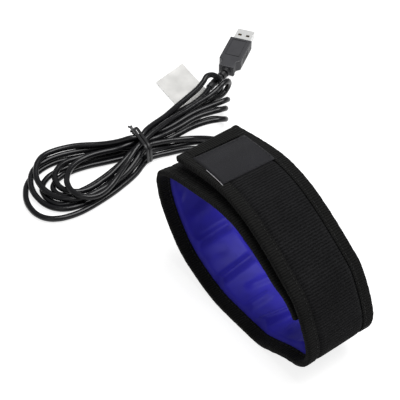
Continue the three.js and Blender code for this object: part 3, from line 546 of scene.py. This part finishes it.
def strip_sheet(name, start, end, columns, profile, thickness, depth_at=None, shift=None):
    """A grid laid along the strip over a cross profile of (across, depth) points, then
    given its thickness inwards. Its UV map is in millimetres along and across the cloth."""
    bpy.ops.object.select_all(action="DESELECT")
    rows = len(profile) - 1
    bpy.ops.mesh.primitive_grid_add(x_subdivisions=columns, y_subdivisions=rows, size=1)
    sheet = bpy.context.object
    sheet.name = name
    run = [0.0]
    for (a, b), (c, d) in zip(profile, profile[1:]):
        run.append(run[-1] + math.hypot(c - a, d - b))
    places = {}
    for vertex in sheet.data.vertices:
        i = round((vertex.co.x + 0.5) * columns)
        j = round((vertex.co.y + 0.5) * rows)
        s = start + (end - start) * i / columns
        across, depth = profile[j]
        if depth_at:
            depth = depth_at(s, across, depth)
        if shift:
            across -= shift(s)
        places[vertex.index] = (s, run[j])
        vertex.co = strip_place(s, across, depth) * MM
    uv = sheet.data.uv_layers.active.data
    for loop in sheet.data.loops:
        uv[loop.index].uv = places[loop.vertex_index]
    sheet.data.update()
    solid = sheet.modifiers.new("cloth", "SOLIDIFY")
    solid.thickness = thickness * MM
    solid.offset = -1
    solid.use_even_offset = True
    bpy.ops.object.modifier_apply(modifier="cloth")
    bpy.ops.object.shade_smooth_by_angle(angle=math.radians(60))
    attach(sheet, "root")
    return sheet


# Woven or knitted cloth: ribs across the strip, threads between them, and a little lint and
# unevenness in the dye, with painted shade darkening the grooves between ribs and loops. It
# follows the cloth's own map, whose unit is a millimetre.
cloth_surface, given, made = surface_group(
    "cloth_surface",
    {"Colour": "NodeSocketColor", "Groove Shade": "NodeSocketColor", "Rib Scale": "NodeSocketFloat",
     "Loop Scale": "NodeSocketFloat", "Loop Share": "NodeSocketFloat", "Depth": "NodeSocketFloat"},
    {"Base Color": "NodeSocketColor", "Normal": "NodeSocketVector"})
nodes, links = cloth_surface.nodes, cloth_surface.links
place = nodes.new("ShaderNodeUVMap")
rib = nodes.new("ShaderNodeTexWave")
rib.bands_direction = "X"
rib.inputs["Distortion"].default_value = 2.2
rib.inputs["Detail"].default_value = 2
rib.inputs["Detail Scale"].default_value = 2.5
loops = nodes.new("ShaderNodeTexVoronoi")
lint = nodes.new("ShaderNodeTexNoise")
lint.inputs["Scale"].default_value = 2.2
lint.inputs["Detail"].default_value = 6
patch = nodes.new("ShaderNodeTexNoise")
patch.inputs["Scale"].default_value = 0.06
height = nodes.new("ShaderNodeMix")
height.data_type = "FLOAT"
fuzz = nodes.new("ShaderNodeMath")
fuzz.operation = "MULTIPLY_ADD"
fuzz.inputs[1].default_value = 0.6
# Painted shade: the colour turns towards the groove shade colour where the ribs and loops are low.
shade = nodes.new("ShaderNodeMix")
shade.data_type = "RGBA"
worn = nodes.new("ShaderNodeMapRange")
worn.inputs["From Min"].default_value = 0.3
worn.inputs["From Max"].default_value = 0.7
worn.inputs["To Min"].default_value = 0.82
worn.inputs["To Max"].default_value = 1.18
dyed = nodes.new("ShaderNodeMix")
dyed.data_type = "RGBA"
dyed.blend_type = "MULTIPLY"
dyed.inputs["Factor"].default_value = 1
relief = nodes.new("ShaderNodeBump")
relief.inputs["Strength"].default_value = 0.9
for texture in (rib, loops, lint, patch):
    links.new(place.outputs["UV"], texture.inputs["Vector"])
links.new(given.outputs["Rib Scale"], rib.inputs["Scale"])
links.new(given.outputs["Loop Scale"], loops.inputs["Scale"])
links.new(given.outputs["Loop Share"], height.inputs[0])
links.new(rib.outputs["Fac"], height.inputs[2])
links.new(loops.outputs["Distance"], height.inputs[3])
links.new(lint.outputs["Fac"], fuzz.inputs[0])
links.new(height.outputs[0], fuzz.inputs[2])
links.new(height.outputs[0], shade.inputs["Factor"])
links.new(given.outputs["Groove Shade"], shade.inputs["A"])
links.new(given.outputs["Colour"], shade.inputs["B"])
links.new(patch.outputs["Fac"], worn.inputs["Value"])
links.new(shade.outputs["Result"], dyed.inputs["A"])
links.new(worn.outputs["Result"], dyed.inputs["B"])
links.new(fuzz.outputs[0], relief.inputs["Height"])
links.new(given.outputs["Depth"], relief.inputs["Distance"])
links.new(dyed.outputs["Result"], made.inputs["Base Color"])
links.new(relief.outputs["Normal"], made.inputs["Normal"])


one_wave, loops_in_a_pitch = 0.314, 1.9


def cloth_finish(name, colour, groove_shade, pitch, ribs, depth, roughness, sheen, gloss=0.1):
    """A cloth in its own colour and ribs, with painted shade in its grooves. Pitch and depth are in
    millimetres.
    """
    material = dress(name, cloth_surface, {
        "Colour": (*colour, 1), "Groove Shade": (*groove_shade, 1), "Rib Scale": one_wave / pitch,
        "Loop Scale": loops_in_a_pitch / pitch, "Loop Share": 1 - ribs, "Depth": depth * MM})
    shader = material.node_tree.nodes["Principled BSDF"]
    shader.inputs["Roughness"].default_value = roughness
    shader.inputs["Sheen Weight"].default_value = sheen
    shader.inputs["Sheen Roughness"].default_value = 0.5
    shader.inputs["Specular IOR Level"].default_value = gloss
    return material


# Outer shell: black loop-pile knit, ribbed across the strip, that the hook tape grips. It is
# padded by the foam under it, so it crowns between the tapes that bind its edges.
cloth_half = 22.25
shell_profile = [
    (-cloth_half, 1.1), (-17, 1.1), (-15.4, 0.95), (-14.6, 0.45), (-13.6, 0.12), (-11.5, 0.0),
    (-7, 0), (-2.4, 0), (2.4, 0), (7, 0), (11.5, 0), (13.6, 0.12), (14.6, 0.45), (15.4, 0.95),
    (17, 1.1), (cloth_half, 1.1),
]


press_end, press_start = 7.6, 10.2
shell_edge_depth = 1.1


def pressed_at(s):
    """How far the end tapes press the layers together here, from 0 to 1."""
    return 1 - eased(min(s, strip_length - s), press_end, press_start)


def shell_depth(s, across, depth):
    """The crowned face, pressed flat where the end tapes hold it."""
    return depth + (shell_edge_depth - depth) * pressed_at(s)


sheet_start, sheet_end, sheet_columns = 1.0, strip_length - 1.0, 520
shell_thickness, lining_thickness = 1.2, 0.35
shell = strip_sheet(
    "knit_shell", sheet_start, sheet_end, sheet_columns, shell_profile, shell_thickness, shell_depth)
black_knit = cloth_finish(
    "black_knit", colour=(0.0135, 0.0135, 0.0145), groove_shade=(0.0008, 0.0008, 0.0008), pitch=1.7,
    ribs=0.5, depth=0.6, roughness=0.95, sheen=0.03, gloss=0.06)
shell.data.materials.append(black_knit)
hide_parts("outer_shell")

# Lining: thin blue nylon on the inside, a little long for the curve that it is sewn to, so it
# stands in folds across the strip, the largest where the left wall and the bottom curve most.
# Each fold: where it crosses the middle, how far it leans, half its width, its height, and the
# two places across the strip where it dies away.
folds = [
    (283.0, 0.05, 5.6, 3.1, -14.5, 12.0), (256.5, 0.12, 5.2, 3.4, -15.0, 14.0),
    (229.5, 0.05, 4.6, 1.9, -12.0, 5.0), (213.0, -0.2, 5.8, 3.4, -14.5, 6.5),
    (320.0, 0.5, 5.0, 1.2, -18.0, -9.5), (241.0, -0.15, 4.4, 1.6, -2.0, 14.5),
    (270.0, -0.1, 5.0, 0.6, -14.0, 2.0), (300.0, 0.15, 6.0, 0.9, -10.0, 10.0),
    (196.0, 0.1, 6.0, 1.3, -8.0, 13.0), (177.0, -0.15, 6.5, 1.7, -13.5, 12.0),
    (157.0, 0.15, 6.5, 1.6, -12.0, 13.0), (137.0, 0.15, 6.0, 1.5, -13.5, 13.0),
    (115.0, -0.2, 6.0, 1.2, -10.0, 13.0), (340.0, 0.1, 6.0, 1.2, -13.0, 12.0),
    (366.0, -0.15, 6.5, 1.2, -12.0, 13.0), (394.0, 0.1, 6.5, 1.0, -13.0, 13.0),
    (424.0, -0.1, 6.5, 1.0, -10.0, 13.0),
]
fold_ease = 3
lining_depths = (4.1, 2.2)


def lining_depth(s, across, depth):
    """The depth beneath the outer face: over the foam, or pressed thin under the tapes, with
    the cloth's own unevenness and its folds."""
    field = 1 - eased(abs(across), 11.5, 15.4)
    free = eased(s, 60, 80) * eased(min(s, strip_length - s), 9, 16)
    ripple = math.sin(s * 0.55 + across * 0.16) * math.sin(across * 0.33 + s * 0.07)
    rise = 0.1 * (1 + ripple)
    for middle, lean, half, reach, low, high in folds:
        off = abs(s - middle - lean * across) / half
        if off < 1:
            along = eased(across, low - fold_ease, low + fold_ease)
            along *= 1 - eased(across, high - fold_ease, high + fold_ease)
            rise += reach * along * (1 - eased(off, 0, 1)) * (1 - 0.35 * off)
    edge = max(eased(abs(across), 12.8, 15.4), pressed_at(s))
    return lining_depths[0] + (lining_depths[1] - lining_depths[0]) * edge + rise * free * field


lining_columns = 44
lining_profile = [(-cloth_half + 2 * cloth_half * k / lining_columns, 0.0)
                  for k in range(lining_columns + 1)]
lining = strip_sheet(
    "lining", sheet_start, sheet_end, sheet_columns, lining_profile, lining_thickness, lining_depth)
blue_nylon = cloth_finish(
    "blue_nylon", colour=(0.034, 0.027, 0.46), groove_shade=(0.024, 0.019, 0.34), pitch=0.5,
    ribs=0.5, depth=0.03, roughness=0.45, sheen=0.05, gloss=0.16)
lining.data.materials.append(blue_nylon)
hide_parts("inner_lining")

# Binding: black woven tape folded over all four edges and sewn through with one row of
# stitches. The two long tapes run past the ends, where the short ones tuck against them.
binding_profile = [
    (15.8, 0.35), (16.6, 0.18), (17.6, 0.34), (18.6, 0.16), (20.5, 0.1), (22.2, 0.1), (22.9, 0.35),
    (23.2, 0.9), (23.25, 1.9), (23.2, 2.9), (22.9, 3.45), (22.2, 3.7), (20.5, 3.7), (18.6, 3.62),
    (17.6, 3.45), (16.6, 3.62), (15.8, 3.45),
]
binding_middle, tape_thickness, tape_columns = 1.9, 0.5, 620
binding_cloth = cloth_finish(
    "black_tape", colour=(0.0115, 0.0115, 0.011), groove_shade=(0.0015, 0.0015, 0.0015), pitch=1.5,
    ribs=0.6, depth=0.6, roughness=0.9, sheen=0.03, gloss=0.06)


def puffed(s, across, depth):
    """The tape gathers a little between the stitches, so that its folds aren't even."""
    lump = noise.noise(Vector((s * 0.42, across * 0.5, 3.0)))
    fine = noise.noise(Vector((s * 1.1, across * 1.3, 9.0)))
    outward = -1 if depth < binding_middle else 1
    return depth + outward * max(0.0, 0.12 + 0.3 * lump + 0.16 * fine)


for name, side in (("near_edge_binding", -1), ("far_edge_binding", 1)):
    profile = [(side * across, depth) for across, depth in binding_profile]
    if side < 0:
        profile = profile[::-1]
    tape = strip_sheet(name + "_tape", 0.0, strip_length, tape_columns, profile, tape_thickness, puffed)
    tape.data.materials.append(binding_cloth)
    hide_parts(name)

# End tapes: the same tape, folded over the tab's end and over the end beneath it. Each runs
# across the strip between the two long tapes and presses the layers together.
end_tape_half, end_tape_columns, tape_cover = 15.9, 40, 8
for name, from_tab in (("tab_end_binding", True), ("inner_end_binding", False)):
    bpy.ops.object.select_all(action="DESELECT")
    rows = len(binding_profile) - 1
    bpy.ops.mesh.primitive_grid_add(x_subdivisions=end_tape_columns, y_subdivisions=rows, size=1)
    tape = bpy.context.object
    tape.name = name + "_tape"
    places = {}
    for vertex in tape.data.vertices:
        i = round((vertex.co.x + 0.5) * end_tape_columns)
        j = round((vertex.co.y + 0.5) * rows)
        across = -end_tape_half + 2 * end_tape_half * i / end_tape_columns
        t = half_band - binding_profile[j][0]
        s = t if from_tab else strip_length - t
        places[vertex.index] = (across, tape_cover - t)
        vertex.co = strip_place(s, across, binding_profile[j][1]) * MM
    uv = tape.data.uv_layers.active.data
    for loop in tape.data.loops:
        uv[loop.index].uv = places[loop.vertex_index]
    solid = tape.modifiers.new("cloth", "SOLIDIFY")
    solid.thickness = tape_thickness * MM
    solid.offset = 1 if from_tab else -1
    bpy.ops.object.modifier_apply(modifier="cloth")
    bpy.ops.object.mode_set(mode="EDIT")
    bpy.ops.mesh.select_all(action="SELECT")
    bpy.ops.mesh.normals_make_consistent(inside=False)
    bpy.ops.object.mode_set(mode="OBJECT")
    bpy.ops.object.shade_smooth_by_angle(angle=math.radians(60))
    tape.data.materials.append(binding_cloth)
    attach(tape, "root")
    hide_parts(name)

# Label: a satin-woven patch, sewn flat on the tab along all four sides and a little out of
# square. Its face is left bare.
label_profile = [
    (-17.95, -0.15), (-17.7, -0.45), (-16.0, -0.5), (-10, -0.5), (-3, -0.5), (4, -0.5), (11, -0.5),
    (16.8, -0.5), (18.3, -0.45), (18.55, -0.15),
]
label_skew, label_columns, label_thickness = 2.1, 40, 0.35


def label_shift(s):
    """How far the label has crept towards the near edge here."""
    return label_skew * (s - label_start) / (label_end - label_start)


label = strip_sheet(
    "label", label_start, label_end, label_columns, label_profile, label_thickness, shift=label_shift)
grey_satin = cloth_finish(
    "grey_satin", colour=(0.0095, 0.0095, 0.012), groove_shade=(0.006, 0.006, 0.008), pitch=0.45,
    ribs=0.6, depth=0.05, roughness=0.45, sheen=0.03, gloss=0.2)
label.data.materials.append(grey_satin)
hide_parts("label_patch")

# Stitches: black polyester thread, one row through each binding tape, a second row across the
# hem of the tab and a box round the label. Each stitch is a short round-ended length.
stitch_length, stitch_pitch, shortest_gap, thread, thread_sides = 1.8, 3, 1.5, 0.32, 6
seam, outer_side, inner_side, label_side = 17.3, 0.12, 3.68, -0.6
tape_stops = range(8, int(strip_length) - 7, stitch_pitch)
label_stops = range(10, 40, stitch_pitch)
stitch_rows = []
for side in (-1, 1):
    for depth in (outer_side, inner_side):
        stitch_rows.append([(q, side * seam, depth) for q in tape_stops])
for hem in (2.2, 6.6):
    stitch_rows.append([(hem, -21 + stitch_pitch * k, -0.02) for k in range(15)])
stitch_rows.append([(strip_length - 6.3, -15 + stitch_pitch * k, 3.7) for k in range(11)])
stitch_rows.append([(q, -17.1 - label_shift(q), label_side) for q in label_stops])
stitch_rows.append([(q, 17.6 - label_shift(q), label_side) for q in label_stops])
stitch_rows.append([(10.2, -16.5 + stitch_pitch * k, label_side) for k in range(12)])
stitch_rows.append([(39.0, -18.5 + stitch_pitch * k, label_side) for k in range(12)])

# How far along a stitch, how thick it is there and how far it stands out of the cloth.
stitch_form = ((0.0, 0.45, -0.5), (0.18, 1.0, 0.1), (0.82, 1.0, 0.1), (1.0, 0.45, -0.5))
mesh = bmesh.new()
for row in stitch_rows:
    places = [strip_place(*spot) for spot in row]
    outward = [strip_place(q, across, depth + (1 if depth > 2 else -1)) - place
               for (q, across, depth), place in zip(row, places)]
    for a, b, out in zip(places, places[1:], outward):
        if (b - a).length < shortest_gap:
            continue
        along = (b - a).normalized()
        out = out.normalized()
        aside = along.cross(out)
        first = (a + b) / 2 - along * stitch_length / 2
        rings = []
        for t, size, stand in stitch_form:
            middle = first + along * stitch_length * t + out * thread * stand
            ring = []
            for k in range(thread_sides):
                angle = math.tau * k / thread_sides
                spoke = aside * math.cos(angle) + out * math.sin(angle)
                ring.append(mesh.verts.new((middle + spoke * size * thread / 2) * MM))
            rings.append(ring)
        for low, high in zip(rings, rings[1:]):
            for k in range(thread_sides):
                after = (k + 1) % thread_sides
                mesh.faces.new((low[k], low[after], high[after], high[k]))
        mesh.faces.new(rings[0][::-1])
        mesh.faces.new(rings[-1])
bmesh.ops.recalc_face_normals(mesh, faces=mesh.faces)
stitch_data = bpy.data.meshes.new("stitches")
mesh.to_mesh(stitch_data)
mesh.free()
stitches = bpy.data.objects.new("stitches", stitch_data)
scene.collection.objects.link(stitches)
for face in stitch_data.polygons:
    face.use_smooth = True
stitches.data.materials.append(sheath_finish("black_thread", (0.004, 0.004, 0.0045), 0.7, 0.2, 2500))
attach(stitches, "root")

# Glint: a pale grey thread along the label's near side. It is a painted highlight where the
# stitching there catches the light.
thread_stops = [24.0 + 2.1 * k for k in range(9)]
thread_places = [strip_place(q, -18.6 - label_shift(q), -0.45) for q in thread_stops]


def thin_curve(name, runs, diameter, material):
    """Fine thread or wire along one or more rows of points, as one piece."""
    data = bpy.data.curves.new(name, "CURVE")
    data.dimensions = "3D"
    data.bevel_depth = diameter / 2 * MM
    data.bevel_resolution = 1
    for points in runs:
        spline = data.splines.new("POLY")
        spline.points.add(len(points) - 1)
        for knot, point in zip(spline.points, points):
            knot.co = (*(point * MM), 1)
    piece = bpy.data.objects.new(name, data)
    scene.collection.objects.link(piece)
    piece.data.materials.append(material)
    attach(piece, "root")
    return piece


# Pale grey colour: the painted highlight of the glint.
pale_glint_finish = sheath_finish("pale_glint_finish", (0.3, 0.3, 0.31), 0.3, 0.05, 2500)
painted_glint_thread = thin_curve("painted_glint_thread", [thread_places], 0.44, pale_glint_finish)

# Hook tape: woven nylon hooks, sewn under the tab, that grip the shell's pile and hold the loop
# closed. Closed as it is here, none of it shows.
hook_depth, hook_thickness, hook_start, hook_end, hook_columns = 4.9, 1.1, 11.0, 53.0, 42
layer_places = (-13.4, -6, 0, 6, 13.4)
hook_profile = [(across, hook_depth) for across in layer_places]
hook = strip_sheet("hook_strip", hook_start, hook_end, hook_columns, hook_profile, hook_thickness)
hook.data.materials.append(cloth_finish(
    "hook_tape", colour=(0.02, 0.02, 0.02), groove_shade=(0.004, 0.004, 0.004), pitch=1.1,
    ribs=0.3, depth=0.4, roughness=0.8, sheen=0.1))
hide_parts("hook_patch")

# Foam: a thin grey sheet between shell and lining that keeps the warmth in. It isn't sewn: the
# layers round it hold it, from one end tape to the other.
foam_depth, foam_thickness, foam_margin, foam_columns = 1.7, 1.0, 10.0, 230
foam_profile = [(across, foam_depth) for across in layer_places]
foam = strip_sheet(
    "foam", foam_margin, strip_length - foam_margin, foam_columns, foam_profile, foam_thickness)
foam.data.materials.append(sheath_finish("grey_foam", (0.2, 0.2, 0.2), 0.9, 1.0, 1600))
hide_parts("insulation_foam")

# Heating wire: varnished copper laid on the foam in four lanes, joined by turns, and its two
# supply ends, which turn off to the gland at the far edge.
wire_depth, wire_diameter, lane_gap, lane_count = 3.4, 0.8, 5.6, 4
wire_start, wire_end, wire_step, supply_reach = 75.0, 306.0, 3.0, 12.4
heated = []
for lane in range(lane_count):
    across = (lane - 1.5) * lane_gap
    stops = [wire_end - wire_step * k for k in range(int((wire_end - wire_start) / wire_step) + 1)]
    if lane % 2:
        stops = stops[::-1]
    heated += [strip_place(q, across, wire_depth) for q in stops]
    if lane < lane_count - 1:
        turn_at = stops[-1] + lane_gap / 2 * (1 if lane % 2 else -1)
        heated.append(strip_place(turn_at, across + lane_gap / 2, wire_depth))
wire_runs = [heated]
for side, stops in ((-1.5, (307.2, 310, 313)), (1.5, (307.2, 309, 310.2))):
    supply = [strip_place(q, side * lane_gap, wire_depth) for q in stops]
    wire_runs.append(supply + [strip_place(stops[-1], supply_reach, wire_depth)])
wires = thin_curve("heating_wires", wire_runs, wire_diameter, copper)
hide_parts("heating_wire", "supply_wire_1", "supply_wire_2")
